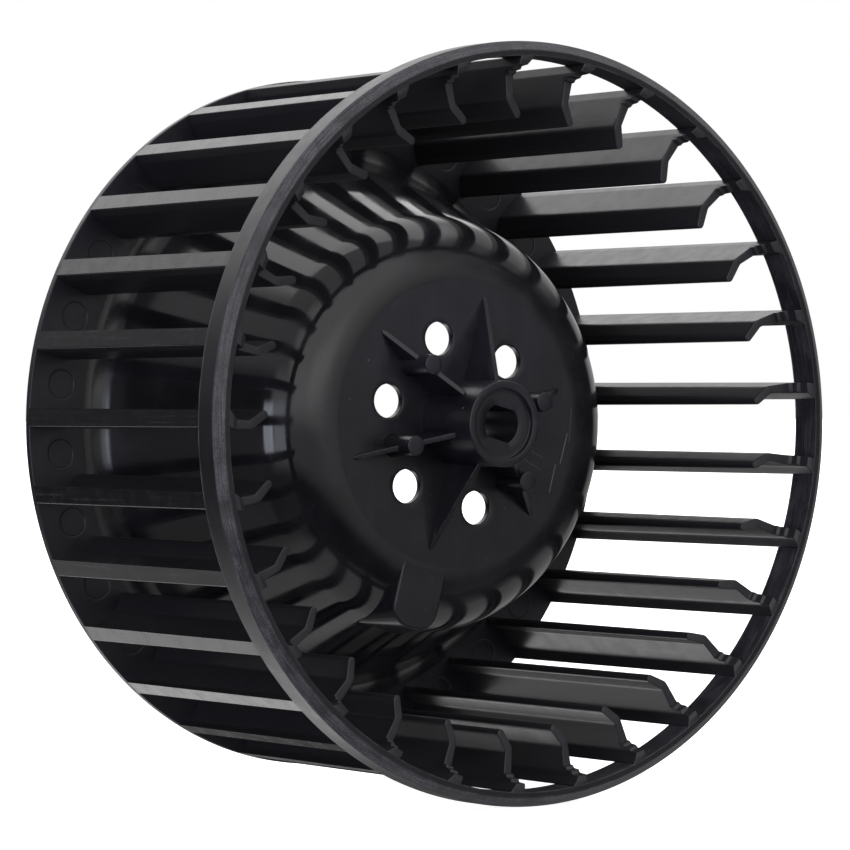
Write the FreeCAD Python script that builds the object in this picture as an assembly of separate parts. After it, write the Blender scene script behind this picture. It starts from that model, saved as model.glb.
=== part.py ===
import FreeCAD, Part
import math
import os

# A moulded centrifugal blower wheel for a small fan motor, in millimetres.
# The wheel turns about the Y axis. Air enters at the open front, which faces -Y, and
# leaves between the blades. The motor sits in the hollow at the back, which faces +Y.
# The origin is on the spin axis, halfway along the wheel. +Z is up.
# Angles are degrees about the spin axis, from +X towards +Z.

# Overall size
RING_OUTER_RADIUS = 75.0
WHEEL_LENGTH = 75.4

# Front ring, which ties the front ends of the blades together from outside
BLADE_OUTER_RADIUS = 72.0
RING_WIDTH = 6.5
RING_BEVEL_DEPTH = 1.3
RING_LIP_WIDTH = 1.2

# Rear disc and the bell that rises from it
WALL = 1.6
DISC_INNER_RADIUS = 59.6
DISH_DEPTH = 26.9
NECK_CORNER_RADIUS = 39.0
NECK_ANGLE = 20.0
SHOULDER_ROUND = 14.0

# Round marks left by the ejector pins, one between each pair of blades
PIN_MARK_RADIUS = 2.8
PIN_MARK_DEPTH = 0.15
PIN_MARK_PITCH_RADIUS = 65.0

# Blades. The corners of a blade's cross-section at its front end are (radius, offset across
# the blade, multiple of the draft). The outer half of a blade is radial and the inner half
# leans over. Its outer end flares into the ring and the disc, mostly on the hollow side.
BLADE_COUNT = 29
FIRST_BLADE_ANGLE = 179.2
BLADE_DRAFT = 0.2
BLADE_BACK = [(73.0, 1.15, 2), (70.2, 1.75, 1), (63.55, 1.6, 1), (60.25, -0.65, 1)]
BLADE_NOSE = (60.3, -1.65)
BLADE_HOLLOW = [(61.3, -1.85, -1), (64.5, 0.05, -1), (70.2, -0.25, -1), (73.0, -3.0, -2)]

# Steps of a blade's front end, as (radius, depth behind the front of the ring)
BLADE_END_STEPS = [
    (74.0, 0.0), (71.2, 0.0), (70.3, 0.3), (70.15, 2.2), (69.5, 2.5),
    (69.35, 3.9), (68.75, 4.2), (68.6, 4.95), (64.0, 5.0), (57.0, 5.6),
]

# Hub, with a bore that is a double D in front and round behind.
# The round part centres the shaft and the flats drive it. The arcs between the flats
# open slightly towards the front, so that the mould's core pin can be drawn out.
HUB_RADIUS = 8.6
HUB_DEPTH = 11.1
HUB_REAR_COLLAR = 4.0
RECESS_RADIUS = 7.0
RECESS_DEPTH = 1.1
BORE_RADIUS = 4.02
BORE_ACROSS_FLATS = 6.5
BORE_MOUTH_RADIUS = 4.1
FLATS_ANGLE = -15.0
ROUND_BORE_LENGTH = 10.0

# Gussets, vent holes and posts around the hub. Every space between two gussets has a vent
# except the last one, below the hub's right side.
SPOKE_COUNT = 6
FIRST_GUSSET_ANGLE = 15.0
VENT_COUNT = 5
VENT_RADIUS = 3.4
VENT_PITCH_RADIUS = 17.65
GUSSET_END_RADIUS = 26.3
GUSSET_HEIGHT = 10.4
GUSSET_THICKNESS = 1.3
POST_RADIUS = 2.0
POST_HEIGHT = 8.1
POST_PITCH_RADIUS = 16.6
GUSSETS_WITH_POSTS = (0, 2, 3, 5)

# Lug on the shoulder of the bell
LUG_ANGLE = -105.5
LUG_HALF_WIDTH = 5.5
LUG_END_RADIUS = 42.5
LUG_START_RADIUS = 26.0
LUG_FRONT_CORNER = 4.4
LUG_BACK_CORNER = 0.8
LUG_DEPTH = 15.0
LUG_DRAFT = 2.5

# Places along the spin axis
FRONT = -WHEEL_LENGTH / 2
REAR = WHEEL_LENGTH / 2
DISC_FRONT = REAR - WALL
DISH_FLOOR = FRONT + DISH_DEPTH
HUB_FRONT = FRONT + HUB_DEPTH
HUB_REAR = DISH_FLOOR + WALL + HUB_REAR_COLLAR

ORIGIN = FreeCAD.Vector(0, 0, 0)
SPIN_AXIS = FreeCAD.Vector(0, 1, 0)
ANGLE_AXIS = FreeCAD.Vector(0, -1, 0)
CLEARANCE = 5.0


def turned(shape, angle):
    """A copy of the shape turned by an angle about the spin axis."""
    copy = shape.copy()
    copy.rotate(ORIGIN, ANGLE_AXIS, angle)
    return copy


def lathe(edges):
    """A solid of revolution about the spin axis, from edges that close a profile."""
    face = Part.Face(Part.Wire(edges))
    return face.revolve(ORIGIN, SPIN_AXIS, 360)


def lathe_outline(outline):
    """A solid of revolution from the (radius, y) corners of its profile."""
    corners = [FreeCAD.Vector(radius, y, 0) for radius, y in outline]
    return lathe(Part.makePolygon(corners + corners[:1]).Edges)


def cylinder(radius, y_from, y_to):
    """A cylinder on the spin axis."""
    return Part.makeCylinder(radius, y_to - y_from, FreeCAD.Vector(0, y_from, 0), SPIN_AXIS)


def corner_round(before, corner, after, radius):
    """Start, middle and end of the arc that rounds a corner between two straight lines."""
    to_before = (before - corner).normalize()
    to_after = (after - corner).normalize()
    half = to_before.getAngle(to_after) / 2
    bisector = (to_before + to_after).normalize()
    start = corner + to_before * (radius / math.tan(half))
    end = corner + to_after * (radius / math.tan(half))
    middle = corner + bisector * (radius / math.sin(half) - radius)
    return start, middle, end


def arc_halves(points):
    """The two halves of the arc through three points."""
    arc = Part.Arc(*points)
    halfway = (arc.FirstParameter + arc.LastParameter) / 2
    return [arc.toShape(arc.FirstParameter, halfway), arc.toShape(halfway, arc.LastParameter)]


def bell_side(inset):
    """Edges of one side of the bell, from the dish floor to the rear disc.

    The front side has an inset of 0, and the back side is parallel to it, one wall behind.
    """
    slope = math.tan(math.radians(NECK_ANGLE))
    sideways = inset / math.cos(math.radians(NECK_ANGLE))
    floor = DISH_FLOOR + inset
    base = DISC_FRONT + inset
    centre = FreeCAD.Vector(0, floor, 0)
    top = FreeCAD.Vector(NECK_CORNER_RADIUS + inset * slope - sideways, floor, 0)
    foot = FreeCAD.Vector(top.x + (base - floor) * slope, base, 0)
    rim = FreeCAD.Vector(DISC_INNER_RADIUS, base, 0)
    half_turn = math.radians(90 - NECK_ANGLE) / 2
    foot_round = (rim.x - foot.x) / math.tan(half_turn)
    shoulder = corner_round(centre, top, foot, SHOULDER_ROUND - inset)
    flare = corner_round(top, foot, rim, foot_round)
    neck = Part.LineSegment(shoulder[2], flare[0]).toShape()
    return arc_halves(shoulder) + [neck] + arc_halves(flare)


def shoulder_start():
    """Radius where the flat dish floor ends and the bell's shoulder begins."""
    return bell_side(0)[0].firstVertex().Point.x


def bell_ring(front_edge, back_edge):
    """One ring of the bell, between matching edges of its front and back sides."""
    start = Part.LineSegment(front_edge.firstVertex().Point, back_edge.firstVertex().Point)
    end = Part.LineSegment(front_edge.lastVertex().Point, back_edge.lastVertex().Point)
    return lathe(Part.__sortEdges__([front_edge, back_edge, start.toShape(), end.toShape()]))


def bell_rings():
    """The bell as the two halves of its shoulder, its neck, and the two halves of its flare."""
    names = [
        "bell_shoulder_inner", "bell_shoulder_outer", "bell_neck",
        "bell_flare_inner", "bell_flare_outer",
    ]
    return dict(zip(names, map(bell_ring, bell_side(0), bell_side(WALL))))


def bell_envelope():
    """Everything behind the front side of the bell."""
    front = bell_side(0)
    top = front[0].firstVertex().Point
    rim = FreeCAD.Vector(DISC_INNER_RADIUS, DISC_FRONT, 0)
    axis_top = FreeCAD.Vector(0, top.y, 0)
    axis_rim = FreeCAD.Vector(0, rim.y, 0)
    closing = Part.makePolygon([top, axis_top, axis_rim, rim]).Edges
    return lathe(Part.__sortEdges__(front + closing))


def front_ring():
    lip_radius = BLADE_OUTER_RADIUS + RING_LIP_WIDTH
    return lathe_outline([
        (BLADE_OUTER_RADIUS, FRONT),
        (lip_radius, FRONT),
        (RING_OUTER_RADIUS, FRONT + RING_BEVEL_DEPTH),
        (RING_OUTER_RADIUS, FRONT + RING_WIDTH),
        (BLADE_OUTER_RADIUS, FRONT + RING_WIDTH),
    ])


def rear_disc():
    disc = cylinder(BLADE_OUTER_RADIUS, DISC_FRONT, REAR)
    disc = disc.cut(cylinder(DISC_INNER_RADIUS, DISC_FRONT, REAR))
    mark = Part.makeCylinder(
        PIN_MARK_RADIUS, PIN_MARK_DEPTH,
        FreeCAD.Vector(PIN_MARK_PITCH_RADIUS, DISC_FRONT, 0), SPIN_AXIS)
    pitch = 360 / BLADE_COUNT
    marks = [turned(mark, FIRST_BLADE_ANGLE + (k + 0.5) * pitch) for k in range(BLADE_COUNT)]
    return disc.cut(Part.Compound(marks))


def blade_section(y, draft):
    """Closed outline of a blade across the spin axis, thickened by the draft."""
    back_points = [
        FreeCAD.Vector(radius, y, offset + multiple * draft)
        for radius, offset, multiple in BLADE_BACK
    ]
    hollow_points = [
        FreeCAD.Vector(radius, y, offset + multiple * draft)
        for radius, offset, multiple in BLADE_HOLLOW
    ]
    nose_point = FreeCAD.Vector(BLADE_NOSE[0], y, BLADE_NOSE[1])
    tip = Part.Arc(back_points[-1], nose_point, hollow_points[0]).toShape()
    edges = Part.makePolygon(back_points).Edges + [tip]
    edges += Part.makePolygon(hollow_points + back_points[:1]).Edges
    return Part.Wire(edges)


def blade():
    """The blade at angle 0, thicker at the disc, with its front end stepped down from the ring."""
    sections = [blade_section(FRONT, 0), blade_section(DISC_FRONT, BLADE_DRAFT)]
    body = Part.makeLoft(sections, True, True)
    body = body.common(cylinder(BLADE_OUTER_RADIUS, FRONT, DISC_FRONT))
    ahead = FRONT - CLEARANCE
    profile = [(radius, FRONT + depth) for radius, depth in BLADE_END_STEPS]
    profile += [(BLADE_END_STEPS[-1][0], ahead), (BLADE_END_STEPS[0][0], ahead)]
    return body.cut(lathe_outline(profile))


def spoke_angle(k):
    """Angle of gusset k. The vents are halfway between gussets."""
    return FIRST_GUSSET_ANGLE + k * 360 / SPOKE_COUNT


def hub_boss():
    boss = cylinder(HUB_RADIUS, HUB_FRONT, HUB_REAR)
    recess_floor = HUB_FRONT + RECESS_DEPTH
    boss = boss.cut(cylinder(RECESS_RADIUS, HUB_FRONT, recess_floor))
    round_start = HUB_REAR - ROUND_BORE_LENGTH
    boss = boss.cut(cylinder(BORE_RADIUS, round_start, HUB_REAR))
    length = round_start - recess_floor
    flats = Part.makeBox(
        4 * BORE_RADIUS, length, BORE_ACROSS_FLATS,
        FreeCAD.Vector(-2 * BORE_RADIUS, recess_floor, -BORE_ACROSS_FLATS / 2))
    arcs = Part.makeCone(
        BORE_MOUTH_RADIUS, BORE_RADIUS, length,
        FreeCAD.Vector(0, recess_floor, 0), SPIN_AXIS)
    return boss.cut(turned(arcs.common(flats), FLATS_ANGLE))


def dish_floor():
    floor = cylinder(shoulder_start(), DISH_FLOOR, DISH_FLOOR + WALL)
    floor = floor.cut(cylinder(HUB_RADIUS, DISH_FLOOR, DISH_FLOOR + WALL))
    vent = Part.makeCylinder(
        VENT_RADIUS, WALL, FreeCAD.Vector(VENT_PITCH_RADIUS, DISH_FLOOR, 0), SPIN_AXIS)
    vents = [turned(vent, spoke_angle(k + 0.5)) for k in range(VENT_COUNT)]
    return floor.cut(Part.Compound(vents))


def gusset():
    """The gusset at angle 0: a thin triangle, tall at the hub, that ends on the dish floor."""
    corners = [
        FreeCAD.Vector(0, DISH_FLOOR, 0),
        FreeCAD.Vector(GUSSET_END_RADIUS, DISH_FLOOR, 0),
        FreeCAD.Vector(HUB_RADIUS, DISH_FLOOR - GUSSET_HEIGHT, 0),
        FreeCAD.Vector(0, DISH_FLOOR - GUSSET_HEIGHT, 0),
    ]
    face = Part.Face(Part.makePolygon(corners + corners[:1]))
    face.translate(FreeCAD.Vector(0, 0, -GUSSET_THICKNESS / 2))
    plate = face.extrude(FreeCAD.Vector(0, 0, GUSSET_THICKNESS))
    return plate.cut(cylinder(HUB_RADIUS, HUB_FRONT, HUB_REAR))


def post():
    """The post at angle 0, which straddles a gusset and stands a little above its crest."""
    pin = Part.makeCylinder(
        POST_RADIUS, POST_HEIGHT,
        FreeCAD.Vector(POST_PITCH_RADIUS, DISH_FLOOR - POST_HEIGHT, 0), SPIN_AXIS)
    return pin.cut(gusset())


def lug_outline(y, growth, corner):
    """Outline of the lug across the spin axis: straight sides and a blunt end."""
    half = LUG_HALF_WIDTH + growth
    end = LUG_END_RADIUS + growth
    inner_low = FreeCAD.Vector(LUG_START_RADIUS, y, -half)
    outer_low = FreeCAD.Vector(end, y, -half)
    outer_high = FreeCAD.Vector(end, y, half)
    inner_high = FreeCAD.Vector(LUG_START_RADIUS, y, half)
    low = corner_round(inner_low, outer_low, outer_high, corner)
    high = corner_round(outer_low, outer_high, inner_high, corner)
    return Part.Wire([
        Part.LineSegment(inner_low, low[0]).toShape(),
        Part.Arc(*low).toShape(),
        Part.LineSegment(low[2], high[0]).toShape(),
        Part.Arc(*high).toShape(),
        Part.LineSegment(high[2], inner_high).toShape(),
        Part.LineSegment(inner_high, inner_low).toShape(),
    ])


def shoulder_lug():
    """The lug, whose corners sharpen towards the back, where it runs into the bell."""
    growth = LUG_DEPTH * math.tan(math.radians(LUG_DRAFT))
    front = lug_outline(DISH_FLOOR, 0, LUG_FRONT_CORNER)
    back = lug_outline(DISH_FLOOR + LUG_DEPTH, growth, LUG_BACK_CORNER)
    block = turned(Part.makeLoft([front, back], True, True), LUG_ANGLE)
    pieces = block.cut(bell_envelope()).Solids
    return max(pieces, key=lambda piece: piece.Volume)


def save(node, shape):
    shape.exportStep(os.path.join("parts", node + ".step"))
    print(node, len(shape.Solids), round(shape.Volume, 1), shape.isValid())


def main():
    os.makedirs("parts", exist_ok=True)
    save("front_ring", front_ring())
    save("rear_disc", rear_disc())
    for node, ring in bell_rings().items():
        save(node, ring)
    save("dish_floor", dish_floor())
    save("hub_boss", hub_boss())
    save("shoulder_lug", shoulder_lug())
    first_blade = blade()
    for k in range(BLADE_COUNT):
        angle = FIRST_BLADE_ANGLE - k * 360 / BLADE_COUNT
        save("blade_%02d" % (k + 1), turned(first_blade, angle))
    for k in range(SPOKE_COUNT):
        save("gusset_%d" % (k + 1), turned(gusset(), spoke_angle(k)))
    for number, k in enumerate(GUSSETS_WITH_POSTS, start=1):
        save("post_%d" % number, turned(post(), spoke_angle(k)))


main()
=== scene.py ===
import math
import random

import bmesh
import bpy
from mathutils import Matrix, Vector


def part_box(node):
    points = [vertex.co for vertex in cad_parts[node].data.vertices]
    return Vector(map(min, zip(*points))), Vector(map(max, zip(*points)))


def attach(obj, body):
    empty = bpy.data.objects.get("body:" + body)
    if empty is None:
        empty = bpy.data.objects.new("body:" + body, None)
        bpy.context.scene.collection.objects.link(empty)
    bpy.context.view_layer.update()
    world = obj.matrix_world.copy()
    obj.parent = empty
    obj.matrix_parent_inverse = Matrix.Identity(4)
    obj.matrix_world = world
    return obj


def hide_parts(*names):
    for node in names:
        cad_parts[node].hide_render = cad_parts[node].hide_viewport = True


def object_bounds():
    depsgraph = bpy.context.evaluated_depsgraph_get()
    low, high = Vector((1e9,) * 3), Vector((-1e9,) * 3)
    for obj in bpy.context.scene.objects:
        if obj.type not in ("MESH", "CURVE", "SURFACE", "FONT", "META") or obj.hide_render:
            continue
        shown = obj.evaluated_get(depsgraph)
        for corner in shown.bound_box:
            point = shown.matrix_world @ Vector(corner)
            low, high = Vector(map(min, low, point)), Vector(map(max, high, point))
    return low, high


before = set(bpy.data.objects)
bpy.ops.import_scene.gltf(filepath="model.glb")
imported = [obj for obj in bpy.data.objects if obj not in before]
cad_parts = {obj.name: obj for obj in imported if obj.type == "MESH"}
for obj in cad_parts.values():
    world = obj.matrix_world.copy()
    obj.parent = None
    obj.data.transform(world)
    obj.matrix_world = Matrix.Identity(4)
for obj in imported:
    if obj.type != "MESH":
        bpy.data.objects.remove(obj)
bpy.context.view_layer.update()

# Everything is modelled in millimetres in the frame of the CAD part and turned into metres in
# make_object. The wheel turns about Y, its inlet faces -Y, and +Z is up.
# Angles are about the spin axis, from +X towards +Z.
MM = 0.001
SEED = 29
BLADE_COUNT = 29

# Mesh fineness
STEPS_PER_BLADE = 12
SEGMENTS = BLADE_COUNT * STEPS_PER_BLADE
FILLET_STEPS = 5
ARC_STEPS = 40
HUB_STEPS = 144
POST_STEPS = 64
NOSE_STEPS = 12
WELD = 0.004


def low_high(node):
    """Lowest and highest corner of a CAD node, in millimetres."""
    low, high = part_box(node)
    return low / MM, high / MM


ring_low, ring_high = low_high("front_ring")
disc_low, disc_high = low_high("rear_disc")
floor_low, floor_high = low_high("dish_floor")
hub_low, hub_high = low_high("hub_boss")

# Places along the spin axis
FRONT = ring_low.y
RING_BACK = ring_high.y
DISC_FRONT = disc_low.y
REAR = disc_high.y
DISH_FLOOR = floor_low.y
DISH_BACK = floor_high.y
HUB_FRONT = hub_low.y
HUB_REAR = hub_high.y
WALL = REAR - DISC_FRONT

# Ring: radii, and the length of the bevel along the axis
RING_OUTER = ring_high.z
RING_INNER = 72.0
RING_LIP = 73.2
RING_BEVEL = 1.3

# Disc, with its shallow round ejector-pin marks
DISC_INNER = 59.6
DISC_OUTER = RING_INNER
DISC_EDGE = 0.25
DISC_FRONT_ROUND = 0.22
DISC_REAR_ROUND = 0.3
PIN_MARK_RADIUS = 2.8
PIN_MARK_DEPTH = 0.15
PIN_MARK_PITCH = 65.0

# Bell
SHOULDER_START = floor_high.z
SHOULDER_ROUND = 14.0
NECK_ANGLE = 20.0
NECK_CORNER = SHOULDER_START + SHOULDER_ROUND * math.tan(math.radians(90 - NECK_ANGLE) / 2)
BELL_OVERLAP = 0.02

# Blades. The section is in (distance along the blade's own radius, distance across it), and the
# front end in (radius, distance behind the ring's front).
FIRST_BLADE_ANGLE = 179.2
BLADE_PITCH = 360 / BLADE_COUNT
BLADE_DRAFT = 0.2
BLADE_EDGE_ROUND = 0.22
BLADE_BURIED = 0.3
NOSE_END = 60.6
BLADE_BACK = [(60.25, -0.65), (63.55, 1.6), (70.2, 1.75), (73.0, 1.15)]
BLADE_HOLLOW = [(61.3, -1.85), (64.5, 0.05), (70.2, -0.25), (73.0, -3.0)]
BLADE_NOSE = (60.3, -1.65)
BLADE_END = [
    (57.0, 5.6), (64.0, 5.0), (68.6, 4.95), (68.75, 4.2), (69.35, 3.9), (69.5, 2.5),
    (70.15, 2.2), (70.3, 0.3), (71.2, 0.02), (74.0, 0.02),
]
BLADE_BACK_ROUNDS = (1.4, 1.5)
BLADE_HOLLOW_ROUNDS = (0.9, 1.5)
# How far the ring's wall covers a blade, and how far a blade's front end reaches into that wall
RING_COVER = 6.2
RING_GRIP = 0.5

# Hub. The bore is a double D in front and round behind.
HUB_RADIUS = 8.6
RECESS_RADIUS = 7.0
RECESS_DEPTH = 1.1
BORE_RADIUS = 4.02
BORE_MOUTH_RADIUS = 4.1
BORE_HALF_FLATS = 3.25
ROUND_BORE_LENGTH = 10.0
FLATS_NORMAL = 75.0

# Hair-thin marks on the dish floor right of the hub: two (x, z) points and a strength
HAIR_LINES = [
    ((27.9, -2.2), (26.1, -8.2), 0.9),
    ((24.8, -8.6), (23.3, -14.1), 0.8),
    ((29.0, 3.0), (28.4, -4.0), 0.3),
    ((13.4, -3.4), (21.5, -7.0), 0.25),
    ((12.4, -5.2), (21.0, -9.5), 0.25),
]

# Vents, gussets and posts
SPOKE_COUNT = 6
FIRST_GUSSET_ANGLE = 15.0
VENT_COUNT = 5
VENT_RADIUS = 3.4
VENT_PITCH = 17.65
GUSSET_END = 26.3
GUSSET_HEIGHT = 10.4
GUSSET_HALF_TOP = 0.55
GUSSET_HALF_BASE = 0.75
GUSSET_TIP_HEIGHT = 0.12
GUSSET_CREST_ROUND = 0.28
GUSSET_BURIED = 0.6
POST_RADIUS = 2.0
POST_HEIGHT = 8.1
POST_PITCH = 16.6
POST_BURIED = 0.5
GUSSETS_WITH_POSTS = (0, 2, 3, 5)

# Lug on the shoulder
LUG_ANGLE = -105.5
LUG_HALF_WIDTH = 5.5
LUG_END = 42.5
LUG_START = 26.0
LUG_FRONT_CORNER = 4.4
LUG_BACK_CORNER = 0.8
LUG_DEPTH = 15.0
LUG_DRAFT = 2.5
LUG_EDGE_ROUND = 0.5
LUG_SET_BACK = 0.03
LUG_LEVELS = (2.0, 5.0, 8.0, 11.0, LUG_DEPTH)


# Plane geometry

def unit(x, y):
    """The direction (x, y) with length 1."""
    length = math.hypot(x, y)
    return x / length, y / length


def fillet(before, corner, after, radius, steps=FILLET_STEPS):
    """Points of the arc that rounds a corner."""
    ax, ay = unit(before[0] - corner[0], before[1] - corner[1])
    bx, by = unit(after[0] - corner[0], after[1] - corner[1])
    half = math.acos(max(-1.0, min(1.0, ax * bx + ay * by))) / 2
    reach = radius / math.tan(half)
    mx, my = unit(ax + bx, ay + by)
    cx = corner[0] + mx * radius / math.sin(half)
    cy = corner[1] + my * radius / math.sin(half)
    start = math.atan2(corner[1] + ay * reach - cy, corner[0] + ax * reach - cx)
    end = math.atan2(corner[1] + by * reach - cy, corner[0] + bx * reach - cx)
    turn = (end - start + math.pi) % (2 * math.pi) - math.pi
    points = []
    for i in range(steps + 1):
        angle = start + turn * i / steps
        points.append((cx + radius * math.cos(angle), cy + radius * math.sin(angle)))
    return points


def rounded_polygon(corners):
    """A closed outline from (x, y, corner radius)."""
    outline = []
    count = len(corners)
    for i, (x, y, radius) in enumerate(corners):
        if radius <= 0:
            outline.append((x, y))
        else:
            outline += fillet(corners[i - 1][:2], (x, y), corners[(i + 1) % count][:2], radius)
    return outline


def interpolate(chain, x):
    """y at x on a chain of points in rising x."""
    if x <= chain[0][0]:
        return chain[0][1]
    for (x0, y0), (x1, y1) in zip(chain, chain[1:]):
        if x <= x1:
            return y0 + (y1 - y0) * (x - x0) / max(x1 - x0, 1e-9)
    return chain[-1][1]


def smooth_chain(chain, radii):
    """A chain of points whose inner corners are rounded."""
    steps = 8
    points = [chain[0]]
    for i in range(1, len(chain) - 1):
        points += fillet(chain[i - 1], chain[i], chain[i + 1], radii[i - 1], steps)
    return points + [chain[-1]]


def polar(radius, angle, y):
    """The point at a radius and an angle about the spin axis, at y along it."""
    a = math.radians(angle)
    return radius * math.cos(a), y, radius * math.sin(a)


# Meshes

def make_object(name, vertices, faces, merge=0.0):
    """A smooth-shaded object from vertices in millimetres, with its normals outwards."""
    mesh = bpy.data.meshes.new(name)
    mesh.from_pydata([(x * MM, y * MM, z * MM) for x, y, z in vertices], [], faces)
    work = bmesh.new()
    work.from_mesh(mesh)
    if merge:
        bmesh.ops.remove_doubles(work, verts=work.verts, dist=merge * MM)
    bmesh.ops.recalc_face_normals(work, faces=work.faces)
    work.to_mesh(mesh)
    work.free()
    mesh.shade_smooth()
    obj = bpy.data.objects.new(name, mesh)
    bpy.context.scene.collection.objects.link(obj)
    return obj


def weight_normals(obj):
    """Lets large flat faces keep their own normals, so that small roundings shade cleanly."""
    sharp_angle, area_weight = 50, 60
    obj.data.set_sharp_from_angle(angle=math.radians(sharp_angle))
    modifier = obj.modifiers.new("weighted_normals", "WEIGHTED_NORMAL")
    modifier.mode = "FACE_AREA"
    modifier.weight = area_weight
    modifier.keep_sharp = True
    return obj


def join_loops(loops, closed):
    """Vertices and faces of a skin over loops that all have the same number of points."""
    count = len(loops[0])
    vertices = [point for loop in loops for point in loop]
    faces = []
    last = len(loops) if closed else len(loops) - 1
    for j in range(last):
        a, b = j * count, ((j + 1) % len(loops)) * count
        for i in range(count):
            k = (i + 1) % count
            faces.append((a + i, a + k, b + k, b + i))
    return vertices, faces


def lathe_loops(profile, segments=SEGMENTS, offset=0.0):
    """One loop about the spin axis for each (radius, y) of the profile."""
    return [
        [polar(radius, offset + 360 * i / segments, y) for i in range(segments)]
        for radius, y in profile
    ]


def lathe(name, profile):
    """A ring-shaped object from a closed (radius, y) profile."""
    vertices, faces = join_loops(lathe_loops(profile), True)
    return make_object(name, vertices, faces)


def cap_ends(vertices, faces, count):
    """Closes the first and the last loop, which have this many points each."""
    faces.append(tuple(range(count)))
    faces.append(tuple(range(len(vertices) - count, len(vertices))))


# Ring

def build_ring():
    """The front ring, with a bevelled lip. Every corner is slightly rounded."""
    profile = rounded_polygon([
        (RING_INNER, FRONT, 0.12),
        (RING_LIP, FRONT, 0.35),
        (RING_OUTER, FRONT + RING_BEVEL, 0.45),
        (RING_OUTER, RING_BACK, 0.28),
        (RING_INNER, RING_BACK, 0.25),
    ])
    return weight_normals(lathe("front_ring_skin", profile))


# Disc

def hole_patch(boundary, centre, radius, flat_y, wall):
    """Flat skin between a closed boundary and a round hole or mark, then down its wall.

    boundary holds (x, z) points around the centre, and wall holds (radius change, y) steps.
    """
    cx, cz = centre
    loops = [[(x, flat_y, z) for x, z in boundary]]
    directions = [unit(x - cx, z - cz) for x, z in boundary]
    rim = radius + wall[0][0]
    for share in (0.35, 0.7, 0.9):
        loop = []
        for (x, z), (dx, dz) in zip(boundary, directions):
            rx, rz = cx + dx * rim, cz + dz * rim
            loop.append((x + (rx - x) * share, flat_y, z + (rz - z) * share))
        loops.append(loop)
    for change, y in wall:
        loops.append([(cx + dx * (radius + change), y, cz + dz * (radius + change))
                      for dx, dz in directions])
    return loops


def turn_points(loops, angle):
    """The same loops turned about the spin axis."""
    c, s = math.cos(math.radians(angle)), math.sin(math.radians(angle))
    return [[(x * c - z * s, y, x * s + z * c) for x, y, z in loop] for loop in loops]


def sector_boundary(inner, outer, half_angle, arc_steps, side_steps):
    """Outline of a sector about angle 0, as (x, z) points going round once."""
    points = []
    for i in range(arc_steps):
        a = math.radians(-half_angle + 2 * half_angle * i / arc_steps)
        points.append((outer * math.cos(a), outer * math.sin(a)))
    a = math.radians(half_angle)
    for i in range(side_steps):
        r = outer + (inner - outer) * i / side_steps
        points.append((r * math.cos(a), r * math.sin(a)))
    for i in range(arc_steps):
        a = math.radians(half_angle - 2 * half_angle * i / arc_steps)
        points.append((inner * math.cos(a), inner * math.sin(a)))
    a = math.radians(-half_angle)
    for i in range(side_steps):
        r = inner + (outer - inner) * i / side_steps
        points.append((r * math.cos(a), r * math.sin(a)))
    return points


def collect(parts):
    """One list of vertices and one of faces from several (vertices, faces) pairs."""
    vertices, faces = [], []
    for more_vertices, more_faces in parts:
        base = len(vertices)
        vertices += more_vertices
        faces += [tuple(base + i for i in face) for face in more_faces]
    return vertices, faces


def build_disc():
    """The rear disc, with a shallow round mark between each pair of blades."""
    outer_flat = DISC_OUTER - DISC_EDGE
    side_steps = 10
    boundary = sector_boundary(DISC_INNER, outer_flat, BLADE_PITCH / 2, STEPS_PER_BLADE, side_steps)
    mark_floor = DISC_FRONT + PIN_MARK_DEPTH
    wall = [(0.1, DISC_FRONT), (0.03, DISC_FRONT + 0.03), (0.0, DISC_FRONT + 0.1),
            (-0.03, mark_floor), (-0.3, mark_floor), (-1.6, mark_floor)]
    patch = hole_patch(boundary, (PIN_MARK_PITCH, 0.0), PIN_MARK_RADIUS, DISC_FRONT, wall)
    parts = []
    for k in range(BLADE_COUNT):
        loops = turn_points(patch, FIRST_BLADE_ANGLE + (k + 0.5) * BLADE_PITCH)
        vertices, faces = join_loops(loops, False)
        last = len(vertices) - len(boundary)
        faces.append(tuple(range(last, len(vertices))))
        parts.append((vertices, faces))
    edge_front, edge_rear = (DISC_OUTER, DISC_FRONT), (DISC_OUTER, REAR)
    rim = [(outer_flat, DISC_FRONT)]
    rim += fillet(rim[0], edge_front, edge_rear, DISC_FRONT_ROUND)[1:]
    rim += fillet(edge_front, edge_rear, (DISC_INNER, REAR), DISC_REAR_ROUND)
    rim += [(DISC_INNER, REAR), (DISC_INNER, DISC_FRONT)]
    loops = lathe_loops(rim, SEGMENTS, FIRST_BLADE_ANGLE)
    parts.append(join_loops(loops, False))
    vertices, faces = collect(parts)
    return weight_normals(make_object("rear_disc_skin", vertices, faces, merge=WELD))


# Bell

def bell_side(inset):
    """(radius, y) points of one side of the bell, from the dish floor out to the disc."""
    slope = math.tan(math.radians(NECK_ANGLE))
    sideways = inset / math.cos(math.radians(NECK_ANGLE))
    floor, base = DISH_FLOOR + inset, DISC_FRONT + inset
    top = (NECK_CORNER + inset * slope - sideways, floor)
    foot = (top[0] + (base - floor) * slope, base)
    rim = (DISC_INNER, base)
    half_turn = math.radians(90 - NECK_ANGLE) / 2
    foot_round = (rim[0] - foot[0]) / math.tan(half_turn)
    shoulder = fillet((0.0, floor), top, foot, SHOULDER_ROUND - inset, ARC_STEPS)
    flare = fillet(top, foot, (rim[0] + 1.0, base), foot_round, ARC_STEPS)
    return shoulder + flare


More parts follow.
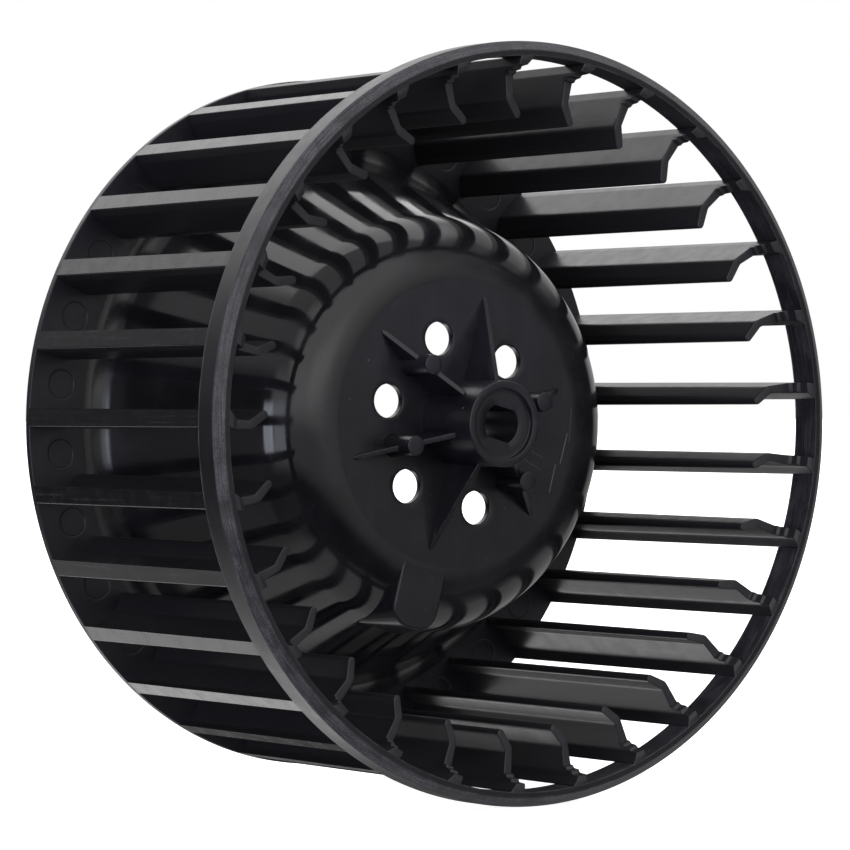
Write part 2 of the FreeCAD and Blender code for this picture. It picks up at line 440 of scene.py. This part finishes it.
def build_bell():
    """The bell as one thin shell. Its ends overlap the floor and the disc by a hair's breadth."""
    front = bell_side(0.0)
    back = bell_side(WALL)
    inner, outer = front[0][0] - BELL_OVERLAP, front[-1][0] + BELL_OVERLAP
    front = [(inner, DISH_FLOOR)] + front + [(outer, DISC_FRONT)]
    back = [(inner, DISH_FLOOR + WALL)] + back + [(outer, REAR)]
    return weight_normals(lathe("bell_skin", front + back[::-1]))


# Dish floor

def build_floor():
    """The floor as six sectors. All but the last have a vent hole."""
    half = 180 / SPOKE_COUNT
    inner, outer = HUB_RADIUS - 1.0, SHOULDER_START
    steps = SEGMENTS // SPOKE_COUNT // 2
    side_steps = 16
    boundary = sector_boundary(inner, outer, half, steps, side_steps)
    vent = (VENT_PITCH, 0.0)
    mouth = [(0.22, 0.0), (0.08, 0.04), (0.02, 0.12), (0.0, 0.25)]
    front_wall = [(growth, DISH_FLOOR + depth) for growth, depth in mouth]
    back_wall = [(growth, DISH_BACK - depth) for growth, depth in mouth]
    front = hole_patch(boundary, vent, VENT_RADIUS, DISH_FLOOR, front_wall)
    back = hole_patch(boundary, vent, VENT_RADIUS, DISH_BACK, back_wall)
    through = front + back[::-1]
    parts = []
    for k in range(SPOKE_COUNT):
        angle = FIRST_GUSSET_ANGLE + (k + 0.5) * 360 / SPOKE_COUNT
        if k < VENT_COUNT:
            parts.append(join_loops(turn_points(through, angle), False))
        else:
            for y in (DISH_FLOOR, DISH_BACK):
                plain = turn_points([[(x, y, z) for x, z in boundary]], angle)[0]
                parts.append((plain, [tuple(range(len(plain)))]))
    for radius in (inner, outer):
        edge = lathe_loops([(radius, DISH_FLOOR), (radius, DISH_BACK)],
                           steps * SPOKE_COUNT, FIRST_GUSSET_ANGLE)
        parts.append(join_loops(edge, False))
    vertices, faces = collect(parts)
    return weight_normals(make_object("dish_floor_skin", vertices, faces, merge=WELD))


# Hub

def double_d(angle, arc_radius):
    """Radius of the double D at an angle."""
    across = abs(math.cos(math.radians(angle - FLATS_NORMAL)))
    return min(arc_radius, BORE_HALF_FLATS / max(across, 1e-6))


def hub_angles():
    """Evenly spaced angles, with the corners of the double D and their surroundings added."""
    digits = 6
    beside = 1.5
    angles = {round(360 * i / HUB_STEPS, digits) for i in range(HUB_STEPS)}
    corner = math.degrees(math.acos(BORE_HALF_FLATS / BORE_MOUTH_RADIUS))
    for normal in (FLATS_NORMAL, FLATS_NORMAL + 180):
        for side in (-corner, corner):
            for nudge in (-beside, 0.0, beside):
                angles.add(round((normal + side + nudge) % 360, digits))
    return sorted(angles)


def build_hub():
    """The hub: outside, front recess, double D, and the round part of the bore."""
    angles = hub_angles()
    recess = HUB_FRONT + RECESS_DEPTH
    step = HUB_REAR - ROUND_BORE_LENGTH
    outside = rounded_polygon([
        (HUB_RADIUS - 1.0, HUB_REAR, 0), (HUB_RADIUS, HUB_REAR, 0.3),
        (HUB_RADIUS, HUB_FRONT, 0.25), (RECESS_RADIUS, HUB_FRONT, 0.15),
        (RECESS_RADIUS, recess, 0.2), (RECESS_RADIUS - 1.0, recess, 0),
    ])
    loops = [[polar(radius, a, y) for a in angles] for radius, y in outside]
    for growth, y in ((0.15, recess), (0.05, recess + 0.03), (0.0, recess + 0.14)):
        loops.append([polar(double_d(a, BORE_MOUTH_RADIUS) + growth, a, y) for a in angles])
    loops.append([polar(double_d(a, BORE_RADIUS), a, step) for a in angles])
    chamfer = 0.3
    for radius, y in ((BORE_RADIUS, step + 0.05), (BORE_RADIUS, HUB_REAR - chamfer),
                      (BORE_RADIUS + chamfer, HUB_REAR)):
        loops.append([polar(radius, a, y) for a in angles])
    vertices, faces = join_loops(loops, True)
    return weight_normals(make_object("hub_boss_skin", vertices, faces))


# Gussets, posts and lug

def build_gusset(k):
    """A thin rib, tall at the hub, that runs down to the dish floor.

    It is drafted, its crest is rounded, and its outer end tapers.
    """
    # (radius, share of the full thickness)
    stations = [(HUB_RADIUS - 0.8, 1.0), (HUB_RADIUS, 1.0), (12.0, 1.0), (16.0, 1.0), (20.0, 1.0),
                (24.0, 1.0), (GUSSET_END - 0.8, 1.0), (GUSSET_END - 0.25, 0.82), (GUSSET_END, 0.45)]
    loops = []
    for r, taper in stations:
        share = (GUSSET_END - max(r, HUB_RADIUS)) / (GUSSET_END - HUB_RADIUS)
        top = GUSSET_HALF_TOP * taper
        base = (GUSSET_HALF_TOP + (GUSSET_HALF_BASE - GUSSET_HALF_TOP) * share) * taper
        y = DISH_FLOOR - GUSSET_HEIGHT * share - GUSSET_TIP_HEIGHT
        section = [(-base, DISH_FLOOR + GUSSET_BURIED), (-top, y + GUSSET_CREST_ROUND)]
        for i in range(1, FILLET_STEPS):
            a = math.pi / 2 * i / FILLET_STEPS
            section.append((-top + GUSSET_CREST_ROUND * taper * (1 - math.cos(a)),
                            y + GUSSET_CREST_ROUND * (1 - math.sin(a))))
        section += [(-z, d) for z, d in section[::-1]]
        loops.append([(r, d, z) for z, d in section])
    vertices, faces = join_loops(loops, False)
    cap_ends(vertices, faces, len(loops[0]))
    vertices = turn_points([vertices], FIRST_GUSSET_ANGLE + k * 360 / SPOKE_COUNT)[0]
    return weight_normals(make_object("gusset_%d_skin" % (k + 1), vertices, faces))


def build_post(number, k):
    """A round pin that stands on the dish floor and straddles a gusset."""
    top = DISH_FLOOR - POST_HEIGHT
    top_round = 0.22
    profile = [(0.4, top)]
    profile += fillet((0.0, top), (POST_RADIUS, top), (POST_RADIUS, DISH_FLOOR), top_round)
    profile += [(POST_RADIUS + 0.06, DISH_FLOOR - 0.35), (POST_RADIUS + 0.35, DISH_FLOOR + 0.02),
                (POST_RADIUS + 0.3, DISH_FLOOR + POST_BURIED)]
    loops = lathe_loops(profile, POST_STEPS)
    loops = [[(x + POST_PITCH, y, z) for x, y, z in loop] for loop in loops]
    vertices, faces = join_loops(loops, False)
    cap_ends(vertices, faces, POST_STEPS)
    vertices = turn_points([vertices], FIRST_GUSSET_ANGLE + k * 360 / SPOKE_COUNT)[0]
    return weight_normals(make_object("post_%d_skin" % number, vertices, faces))


def build_lug():
    """A blunt lug on the shoulder. Its flat top lies a hair behind the dish floor."""
    top = DISH_FLOOR + LUG_SET_BACK
    slope = math.tan(math.radians(LUG_DRAFT))
    # (growth of the outline, y)
    levels = []
    steps = FILLET_STEPS + 1
    for i in range(steps + 1):
        a = math.pi / 2 * i / steps
        levels.append((-LUG_EDGE_ROUND * (1 - math.sin(a)), top + LUG_EDGE_ROUND * (1 - math.cos(a))))
    for depth in LUG_LEVELS:
        levels.append((depth * slope, top + depth))
    loops = []
    for growth, y in levels:
        half, end = LUG_HALF_WIDTH + growth, LUG_END + growth
        share = (y - DISH_FLOOR) / LUG_DEPTH
        corner = LUG_FRONT_CORNER + (LUG_BACK_CORNER - LUG_FRONT_CORNER) * share + min(growth, 0.0)
        outline = rounded_polygon([
            (LUG_START, -half, 0), (end, -half, corner), (end, half, corner), (LUG_START, half, 0),
        ])
        loops.append([(x, y, z) for x, z in outline])
    vertices, faces = join_loops(loops, False)
    cap_ends(vertices, faces, len(loops[0]))
    vertices = turn_points([vertices], LUG_ANGLE)[0]
    return weight_normals(make_object("shoulder_lug_skin", vertices, faces))


# Blades

def circle_through(p, q, r):
    """Centre and radius of the circle through three points."""
    (ax, ay), (bx, by), (cx, cy) = p, q, r
    d = 2 * (ax * (by - cy) + bx * (cy - ay) + cx * (ay - by))
    a2, b2, c2 = ax * ax + ay * ay, bx * bx + by * by, cx * cx + cy * cy
    ux = (a2 * (by - cy) + b2 * (cy - ay) + c2 * (ay - by)) / d
    uy = (a2 * (cx - bx) + b2 * (ax - cx) + c2 * (bx - ax)) / d
    return ux, uy, math.hypot(ax - ux, ay - uy)


def nose_chains():
    """Back and hollow sides of the blade section in rising radius, both from the tip of the nose."""
    ux, uy, radius = circle_through(BLADE_BACK[0], BLADE_NOSE, BLADE_HOLLOW[0])
    tip_angle = math.pi
    chains = []
    for chain, rounds in ((BLADE_BACK, BLADE_BACK_ROUNDS), (BLADE_HOLLOW, BLADE_HOLLOW_ROUNDS)):
        end = math.atan2(chain[0][1] - uy, chain[0][0] - ux) % (2 * math.pi)
        points = []
        for i in range(NOSE_STEPS + 1):
            a = tip_angle + (end - tip_angle) * i / NOSE_STEPS
            points.append((ux + radius * math.cos(a), uy + radius * math.sin(a)))
        chains.append(points + smooth_chain(chain, rounds)[1:])
    return chains


NOSE_BACK, NOSE_HOLLOW = nose_chains()


def blade_stations():
    """Radii of the section's points: close together on the nose, at the steps and at the outer edge."""
    tip = NOSE_BACK[0][0]
    near_nose = [tip + d for d in (0.0, 0.03, 0.1, 0.22, 0.4, 0.65, 0.95, 1.3, 1.7)]
    middle = [62.4, 62.9, 63.2, 63.5, 63.8, 64.1, 64.4, 64.7, 65.1, 65.6, 66.4, 67.4, 68.2]
    steps = [68.45, 68.56, 68.62, 68.74, 68.82, 69.05, 69.28, 69.37, 69.49, 69.6, 69.85, 70.07,
             70.16, 70.29, 70.4, 70.7, 71.0, 71.2, 71.45]
    outer = [71.7, 71.78, 71.86, 71.93, 71.98, RING_INNER]
    return near_nose + middle + steps + outer


def uneven_end(rng):
    """The blade's front end chain, with its steps a little different on each blade."""
    end_shift = rng.uniform(-0.15, 0.2)
    step_shifts = [rng.uniform(-0.06, 0.06) for _ in BLADE_END]
    chain = []
    for (r, depth), step_shift in zip(BLADE_END, step_shifts):
        moves_out = 60 < r < 71
        moves_back = 1.0 < depth < 5.3
        chain.append((r + (step_shift if moves_out else 0.0), depth + (end_shift if moves_back else 0.0)))
    return chain


def blade_levels():
    """(follows the front end, inset of the skin, y or else distance behind the end) of each loop."""
    length = DISC_FRONT - FRONT
    steps = 5
    levels = []
    for i in range(steps + 1):
        a = math.pi / 2 * i / steps
        levels.append((True, BLADE_EDGE_ROUND * (1 - math.sin(a)), BLADE_EDGE_ROUND * (1 - math.cos(a))))
    for y in (FRONT + 6.1, FRONT + 6.35, FRONT + 6.9, FRONT + length / 3, FRONT + 2 * length / 3,
              DISC_FRONT + BLADE_BURIED):
        levels.append((False, 0.0, y))
    return levels


def blade_points(r, y, inset):
    """The points on the back and on the hollow side at one radius and one place along the axis."""
    draft = BLADE_DRAFT * (y - FRONT) / (DISC_FRONT - FRONT) if r > NOSE_END else 0.0
    back = interpolate(NOSE_BACK, r) + draft
    hollow = interpolate(NOSE_HOLLOW, r) - draft
    shrink = min(inset, (back - hollow) * 0.45)
    past_round = (r - RING_INNER + BLADE_EDGE_ROUND) / BLADE_EDGE_ROUND
    x = r
    if past_round > 0:
        if y < FRONT + RING_COVER:
            x = r + RING_GRIP * past_round
        else:
            shrink = max(shrink, BLADE_EDGE_ROUND * (1 - math.sqrt(max(0.0, 1 - past_round ** 2))))
    points = []
    for across in (back - shrink, hollow + shrink):
        # the outer face lies on a cylinder
        points.append((math.sqrt(x * x - across * across) if x >= RING_INNER else x, y, across))
    return points


def build_blade(k, rng):
    """A blade with its stepped front end. Every edge is slightly rounded."""
    stations = blade_stations()
    end_chain = uneven_end(rng)
    loops = []
    for follows_end, inset, offset in blade_levels():
        back_row, hollow_row = [], []
        for r in stations:
            y = FRONT + interpolate(end_chain, r) + offset if follows_end else offset
            back, hollow = blade_points(r, y, inset)
            back_row.append(back)
            hollow_row.append(hollow)
        # one closed loop, from the nose out along the back and home along the hollow side
        loops.append(back_row + hollow_row[:0:-1])
    vertices, faces = join_loops(loops, False)
    count, n = len(loops[0]), len(stations)
    for base in (0, (len(loops) - 1) * count):
        faces.append((base, base + 1, base + count - 1))
        for i in range(1, n - 1):
            faces.append((base + i, base + i + 1, base + count - i - 1, base + count - i))
    vertices = turn_points([vertices], FIRST_BLADE_ANGLE - k * BLADE_PITCH)[0]
    return weight_normals(make_object("blade_%02d_skin" % (k + 1), vertices, faces))


# Materials

WHITE = (1.0, 1.0, 1.0, 1.0)


class Nodes:
    """Short names for building the node tree of a material or world."""

    def __init__(self, owner):
        owner.use_nodes = True
        self.owner = owner
        self.tree = owner.node_tree
        self.tree.nodes.clear()

    def add(self, kind, inputs=None, **settings):
        node = self.tree.nodes.new(kind)
        for key, value in settings.items():
            setattr(node, key, value)
        for key, value in (inputs or {}).items():
            if isinstance(value, bpy.types.NodeSocket):
                self.tree.links.new(value, node.inputs[key])
            else:
                node.inputs[key].default_value = value
        return node

    def math(self, operation, a, b=0.0, c=0.0, clamp=False):
        node = self.add("ShaderNodeMath", {0: a, 1: b, 2: c}, operation=operation, use_clamp=clamp)
        return node.outputs[0]

    def plus(self, a, *others):
        for b in others:
            a = self.math("ADD", a, b)
        return a

    def times(self, a, *others):
        for b in others:
            a = self.math("MULTIPLY", a, b)
        return a

    def ramp(self, value, low, high, to_low=0.0, to_high=1.0):
        """A smooth step from to_low at low to to_high at high."""
        node = self.add("ShaderNodeMapRange", {0: value, 1: low, 2: high, 3: to_low, 4: to_high},
                        interpolation_type="SMOOTHSTEP")
        return node.outputs[0]

    def noise(self, vector, scale, detail=3.0, roughness=0.55):
        node = self.add("ShaderNodeTexNoise",
                        {"Vector": vector, "Scale": scale, "Detail": detail, "Roughness": roughness})
        return node.outputs["Fac"]

    def vector(self, x, y, z):
        return self.add("ShaderNodeCombineXYZ", {0: x, 1: y, 2: z}).outputs[0]

    def mix_colour(self, factor, a, b):
        node = self.add("ShaderNodeMix", {"Factor": factor, 6: a, 7: b}, data_type="RGBA")
        return node.outputs[2]


def plastic_nodes(name):
    """Nodes of a new material, with object coordinates in millimetres.

    Returns the nodes, the coordinates, their x, y and z, and the radius about the spin axis.
    """
    n = Nodes(bpy.data.materials.new(name))
    coordinates = n.add("ShaderNodeTexCoord").outputs["Object"]
    point = n.add("ShaderNodeVectorMath", {0: coordinates, 3: 1 / MM}, operation="SCALE").outputs[0]
    x, y, z = n.add("ShaderNodeSeparateXYZ", {0: point}).outputs
    radius = n.math("SQRT", n.plus(n.times(x, x), n.times(z, z)))
    return n, point, (x, y, z), radius


def finish_plastic(n, colour, roughness, height, strength, distance, specular=0.5):
    """Bump of this strength and distance (in millimetres), then the plastic's surface."""
    bump = n.add("ShaderNodeBump", {"Height": height, "Strength": strength, "Distance": distance * MM})
    shader = n.add("ShaderNodeBsdfPrincipled", {
        "Base Color": colour, "Roughness": roughness, "Normal": bump.outputs[0],
        "IOR": 1.5, "Specular IOR Level": specular,
    })
    n.add("ShaderNodeOutputMaterial", {"Surface": shader.outputs[0]})
    return n.owner


def grey(value, blue=1.5):
    """A grey that leans a little towards violet, as this plastic does in white light."""
    green = 0.95
    return (value, value * green, value * blue, 1.0)


# The numbers inside the materials are feature sizes (noise scales per millimetre), the ends of
# ramps, and the shares by which layers are mixed.

def bell_material():
    """Polished mould surface: nearly smooth, with a faint unevenness, haze and fine dust."""
    n, point, _, radius = plastic_nodes("bell_plastic")
    waves = n.noise(point, 0.05, 2.0)
    fine = n.noise(point, 2.2, 4.0, 0.6)
    cloud = n.noise(point, 0.12, 3.0)
    shoulder = n.ramp(radius, 29.0, 38.0, 0.3, 0.06)
    flare = n.ramp(radius, 49.0, 57.0, 0.0, 0.16)
    rough = n.plus(n.ramp(cloud, 0.35, 0.7, -0.01, 0.07), shoulder, flare, n.times(fine, 0.03))
    haze = n.ramp(cloud, 0.25, 0.75)
    dust = n.ramp(n.noise(point, 1.6, 2.0, 0.4), 0.74, 0.78, 0.0, 0.2)
    colour = n.mix_colour(haze, grey(0.009, 1.2), grey(0.016, 1.2))
    colour = n.mix_colour(dust, colour, grey(0.12, 1.1))
    height = n.plus(n.times(waves, 3.0), n.times(fine, 0.04))
    return finish_plastic(n, colour, rough, height, strength=0.25, distance=0.05)


def hair_line(n, x, z, start, end):
    """Mask of a hair-thin mark on the dish floor, between two (x, z) points in millimetres."""
    ux, uz = unit(end[0] - start[0], end[1] - start[1])
    length = math.dist(start, end)
    dx = n.math("SUBTRACT", x, start[0])
    dz = n.math("SUBTRACT", z, start[1])
    along = n.plus(n.times(dx, ux), n.times(dz, uz))
    along = n.math("MINIMUM", n.math("MAXIMUM", along, 0.0), length)
    ex = n.math("SUBTRACT", dx, n.times(along, ux))
    ez = n.math("SUBTRACT", dz, n.times(along, uz))
    away = n.math("SQRT", n.plus(n.times(ex, ex), n.times(ez, ez)))
    return n.ramp(away, 0.04, 0.2, 1.0, 0.0)


def hub_material():
    """Fine-grained satin plastic of the dish floor and what stands on it, with cloudy marks, and painted
    light: the colour is lighter towards the top, where light from above falls.
    """
    n, point, (x, y, z), _ = plastic_nodes("hub_plastic")
    grain = n.noise(point, 5.0, 5.0, 0.65)
    cloud = n.noise(point, 0.1, 5.0, 0.65)
    upright = n.vector(n.times(x, 0.5), y, n.times(z, 0.07))
    rubbed = n.ramp(n.noise(upright, 1.0, 4.0, 0.6), 0.45, 0.75)
    dust = n.ramp(n.noise(point, 1.3, 2.0, 0.4), 0.735, 0.76, 0.0, 0.6)
    rough = n.plus(n.ramp(cloud, 0.3, 0.7, 0.27, 0.34), n.times(grain, 0.03))
    haze = n.plus(n.ramp(cloud, 0.3, 0.7, -0.1, 0.5), n.times(rubbed, 0.3))
    # painted light: the colour is lightened towards the top (rising z), standing in for light falling from
    # above
    haze = n.math("ADD", haze, n.ramp(z, -20.0, 32.0, -0.1, 0.45), clamp=True)
    colour = n.mix_colour(haze, grey(0.006), grey(0.019))
    colour = n.mix_colour(dust, colour, grey(0.16, 1.1))
    for start, end, strength in HAIR_LINES:
        line = n.times(hair_line(n, x, z, start, end), strength)
        colour = n.mix_colour(line, colour, grey(0.13, 1.1))
    return finish_plastic(n, colour, rough, grain, strength=0.2, distance=0.02)


def blade_material():
    """Satin plastic with fine lines along the blade where it slid out of the mould. Faces that look to the
    front get a lighter grey as painted light.
    """
    n, point, (x, y, z), radius = plastic_nodes("blade_plastic")
    lines = n.noise(n.vector(n.times(x, 2.6), n.times(y, 0.04), n.times(z, 2.6)), 1.0, 4.0, 0.65)
    mottle = n.noise(point, 0.3, 4.0, 0.6)
    outer_face = n.ramp(radius, RING_INNER - 0.3, RING_INNER - 0.05)
    rough = n.plus(n.ramp(mottle, 0.3, 0.7, 0.26, 0.34), n.times(lines, 0.06), n.times(outer_face, -0.08))
    wear = n.times(n.ramp(lines, 0.5, 0.75), n.ramp(mottle, 0.35, 0.65, 0.2, 1.0),
                   n.plus(n.times(outer_face, 0.6), 0.25))
    colour = n.mix_colour(outer_face, grey(0.02, 1.15), grey(0.01, 1.15))
    colour = n.mix_colour(wear, colour, grey(0.05, 1.1))
    # painted light: faces whose normal points to the front (-Y) are painted a lighter grey, where the light
    # from the front falls
    normal = n.add("ShaderNodeTexCoord").outputs["Normal"]
    facing_back = n.add("ShaderNodeSeparateXYZ", {0: normal}).outputs[1]
    painted_front_light = n.ramp(facing_back, -0.9, -0.6, 1.0, 0.0)
    colour = n.mix_colour(painted_front_light, colour, grey(0.03, 1.15))
    return finish_plastic(n, colour, rough, lines, strength=0.35, distance=0.03, specular=0.4)


def disc_material():
    """Plain satin plastic, slightly mottled."""
    n, point, _, _ = plastic_nodes("disc_plastic")
    mottle = n.noise(point, 0.3, 4.0, 0.6)
    grain = n.noise(point, 4.0, 4.0, 0.6)
    rough = n.plus(n.ramp(mottle, 0.3, 0.7, 0.32, 0.42), n.times(grain, 0.06))
    colour = n.mix_colour(n.times(mottle, 0.15), grey(0.008), grey(0.05))
    return finish_plastic(n, colour, rough, grain, strength=0.2, distance=0.02)


def ring_material():
    """Satin plastic whose bevel is rubbed grey and whose back edge is a lighter grey band, with fine
    scratches running round.
    """
    n, point, (x, y, z), radius = plastic_nodes("ring_plastic")
    depth = n.math("SUBTRACT", y, FRONT)
    width = RING_BACK - FRONT
    around = n.vector(n.times(x, 0.12), n.plus(n.times(radius, 6.0), n.times(depth, 4.0)), n.times(z, 0.12))
    streaks = n.noise(around, 1.0, 6.0, 0.75)
    patches = n.noise(point, 0.2, 5.0, 0.65)
    grain = n.noise(point, 5.0, 4.0, 0.6)
    bevel = n.times(n.ramp(radius, RING_LIP - 0.3, RING_LIP + 0.1, 0.0, 0.9),
                    n.ramp(depth, RING_BEVEL + 0.1, RING_BEVEL + 0.6, 1.0, 0.0))
    # a lighter grey band all round along the back edge
    back_edge = n.ramp(depth, width - 0.6, width - 0.3)
    inner_edge = n.ramp(radius, RING_INNER + 0.1, RING_INNER + 0.25, 1.0, 0.0)
    rubbed = n.plus(n.times(bevel, 0.68), n.times(back_edge, 1.1), n.times(inner_edge, 0.3), 0.06)
    rubbed = n.times(rubbed, n.ramp(streaks, 0.35, 0.68, 0.1, 1.35), n.ramp(grain, 0.35, 0.65, 0.35, 1.65))
    rubbed = n.math("MULTIPLY", rubbed, n.ramp(patches, 0.3, 0.65, 0.4, 1.2), clamp=True)
    colour = n.mix_colour(rubbed, grey(0.008, 1.25), grey(0.13, 1.12))
    rough = n.plus(n.ramp(patches, 0.3, 0.7, 0.3, 0.38), n.times(rubbed, 0.25))
    height = n.plus(n.times(streaks, 0.8), n.times(grain, 0.45))
    return finish_plastic(n, colour, rough, height, strength=0.6, distance=0.05, specular=0.45)


def stage_material():
    """Pale seamless floor that glows softly, as a lit studio sweep does."""
    n = Nodes(bpy.data.materials.new("pale_floor"))
    coordinates = n.add("ShaderNodeTexCoord").outputs["Object"]
    grain = n.noise(coordinates, 40.0, 3.0)
    colour = n.mix_colour(grain, (0.86, 0.86, 0.86, 1.0), (0.9, 0.9, 0.9, 1.0))
    shader = n.add("ShaderNodeBsdfPrincipled", {
        "Base Color": colour, "Roughness": 0.9, "Specular IOR Level": 0.1,
        "Emission Color": WHITE, "Emission Strength": 0.92,
    })
    n.add("ShaderNodeOutputMaterial", {"Surface": shader.outputs[0]})
    return n.owner


# Assembly

def place(obj, material, slot, *nodes):
    """Gives a piece its material, hangs it on the root body and hides the nodes it replaces."""
    obj.data.materials.append(material)
    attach(obj, "root")
    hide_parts(*nodes)
    return obj


rng = random.Random(SEED)
ring_look = ring_material()
disc_look = disc_material()
bell_look = bell_material()
hub_look = hub_material()
blade_look = blade_material()

place(build_ring(), ring_look, "ring_plastic", "front_ring")
place(build_disc(), disc_look, "disc_plastic", "rear_disc")
place(build_bell(), bell_look, "bell_plastic", "bell_shoulder_inner", "bell_shoulder_outer",
      "bell_neck", "bell_flare_inner", "bell_flare_outer")
place(build_floor(), hub_look, "hub_plastic", "dish_floor")
place(build_hub(), hub_look, "hub_plastic", "hub_boss")
place(build_lug(), hub_look, "hub_plastic", "shoulder_lug")
for k in range(SPOKE_COUNT):
    place(build_gusset(k), hub_look, "hub_plastic", "gusset_%d" % (k + 1))
for number, k in enumerate(GUSSETS_WITH_POSTS, start=1):
    place(build_post(number, k), hub_look, "hub_plastic", "post_%d" % number)
for k in range(BLADE_COUNT):
    place(build_blade(k, rng), blade_look, "blade_plastic", "blade_%02d" % (k + 1))


# Stage, light and camera

# Where the camera stands and which way it looks, in metres, and its lens in millimetres
CAMERA_PLACE = Vector((-0.46788, -0.64787, 0.004665))
CAMERA_LOOK = Vector((0.5852, 0.8109, -0.0063)).normalized()
LENS = 166.3
SENSOR = 36.0
NEAREST, FARTHEST = 0.05, 100.0

# The studio's soft lights. Each one fills a window of the surround: its first and last azimuth,
# its lowest and highest elevation (all in degrees), and its strength. Azimuth 0 is behind the
# camera and 90 is at the camera's left.
SOFT_LIGHTS = [
    (0, 360, -120, -52, 0.6),  # glow from below
    (15, 75, -52, -18, 0.12),  # low, from the left round the far side to the right
    (75, 105, -52, -18, 0.25),
    (105, 135, -52, -18, 0.45),
    (135, 160, -52, -18, 2.0),
    (160, 195, -52, -18, 0.05),
    (195, 255, -52, -18, 0.55),
    (255, 285, -52, -18, 0.2),
    (-15, 15, -18, 22, 0.5),  # level with the wheel
    (15, 45, -18, 22, 0.95),
    (45, 75, -18, 2, 0.2),
    (165, 225, -18, 2, 0.35),
    (285, 345, -18, 2, 0.45),
    (-15, 15, 2, 22, 0.9),
    (45, 105, 2, 22, 0.03),
    (105, 135, 2, 22, 0.3),
    (135, 165, 2, 22, 0.1),
    (165, 225, 2, 22, 0.65),
    (285, 315, 2, 22, 0.9),
    (315, 345, 2, 22, 1.8),
    (-67, 23, 22, 52, 1.25),  # high, all round
    (23, 113, 22, 52, 0.52),
    (113, 203, 22, 52, 1.85),
    (203, 248, 22, 52, 0.85),
    (248, 293, 22, 52, 0.5),
    (-90, 90, 52, 120, 0.6),  # overhead, on the camera's side and then on the far side
    (90, 270, 52, 120, 1.9),
]
SOFT_EDGE = 6.0

# Two narrow lights at the camera's left: first and last azimuth from the camera, lowest and
# highest elevation (all degrees), and strength
NARROW_LIGHTS = [(41.0, 58.0, -15.0, 9.0, 3.8), (20.0, 39.0, -15.0, 9.0, 1.25)]
NARROW_TINT = (0.84, 0.87, 1.0, 1.0)
NARROW_EDGE = 1.5


def build_stage():
    """A large pale floor a hair below the wheel, seen by the camera and left out of reflections."""
    size = 12.0
    gap = 0.0002
    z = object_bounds()[0].z - gap
    mesh = bpy.data.meshes.new("floor")
    mesh.from_pydata([(-size, -size, z), (size, -size, z), (size, size, z), (-size, size, z)],
                     [], [(0, 1, 2, 3)])
    floor = bpy.data.objects.new("floor", mesh)
    bpy.context.scene.collection.objects.link(floor)
    mesh.materials.append(stage_material())
    floor.visible_glossy = False
    floor.visible_diffuse = False
    floor.visible_shadow = False


def window(n, value, low, high, edge):
    """1 between low and high and 0 outside, with soft edges."""
    rise = n.ramp(value, low - edge, low + edge)
    fall = n.ramp(value, high - edge, high + edge, 1.0, 0.0)
    return n.times(rise, fall)


def sky_window(n, azimuth, elevation, region, edge):
    """Mask of one light's window. Azimuth and elevation are the looked-up direction's, in radians."""
    goes_all_round = region[1] - region[0] >= 360
    first, last, low, high = map(math.radians, region)
    edge = math.radians(edge)
    band = window(n, elevation, low, high, edge)
    if goes_all_round:
        return band
    behind_camera = math.atan2(-CAMERA_PLACE.x, -CAMERA_PLACE.y)
    middle, half = behind_camera + (first + last) / 2, (last - first) / 2
    turned = n.math("WRAP", n.math("SUBTRACT", azimuth, middle), math.pi, -math.pi)
    return n.times(band, window(n, turned, -half, half, edge))


def build_world():
    """Studio surround. The camera sees plain white, and the plastic mirrors soft lights in it."""
    world = bpy.data.worlds.new("studio")
    bpy.context.scene.world = world
    n = Nodes(world)
    x, y, z = n.add("ShaderNodeSeparateXYZ", {0: n.add("ShaderNodeTexCoord").outputs["Generated"]}).outputs
    azimuth = n.math("ARCTAN2", n.times(x, -1.0), n.times(y, -1.0))
    elevation = n.math("ARCSINE", z)
    wide = 0.0
    for *region, strength in SOFT_LIGHTS:
        wide = n.plus(wide, n.times(sky_window(n, azimuth, elevation, region, SOFT_EDGE), strength))
    total = wide
    for *region, strength in NARROW_LIGHTS:
        total = n.plus(total, n.times(sky_window(n, azimuth, elevation, region, NARROW_EDGE), strength))
    seen = n.add("ShaderNodeLightPath").outputs["Is Camera Ray"]
    strength = n.add("ShaderNodeMix", {"Factor": seen, 2: total, 3: 1.0}).outputs[0]
    # the tint is only where a narrow light adds to the wide ones
    narrow = n.times(n.math("GREATER_THAN", total, n.plus(wide, 0.1)), n.math("SUBTRACT", 1.0, seen))
    colour = n.mix_colour(narrow, WHITE, NARROW_TINT)
    background = n.add("ShaderNodeBackground", {"Color": colour, "Strength": strength})
    n.add("ShaderNodeOutputWorld", {"Surface": background.outputs[0]})


def build_camera():
    """The camera stands off the wheel's open front, at its left."""
    data = bpy.data.cameras.new("camera")
    data.sensor_width = SENSOR
    data.lens = LENS
    data.clip_start = NEAREST
    data.clip_end = FARTHEST
    camera = bpy.data.objects.new("camera", data)
    camera.location = CAMERA_PLACE
    camera.rotation_euler = CAMERA_LOOK.to_track_quat("-Z", "Y").to_euler()
    bpy.context.scene.collection.objects.link(camera)
    bpy.context.scene.camera = camera


build_stage()
build_world()
build_camera()

settings = bpy.context.scene.view_settings
settings.view_transform = "Standard"
settings.look = "None"
settings.exposure = 0.0
settings.gamma = 1.0
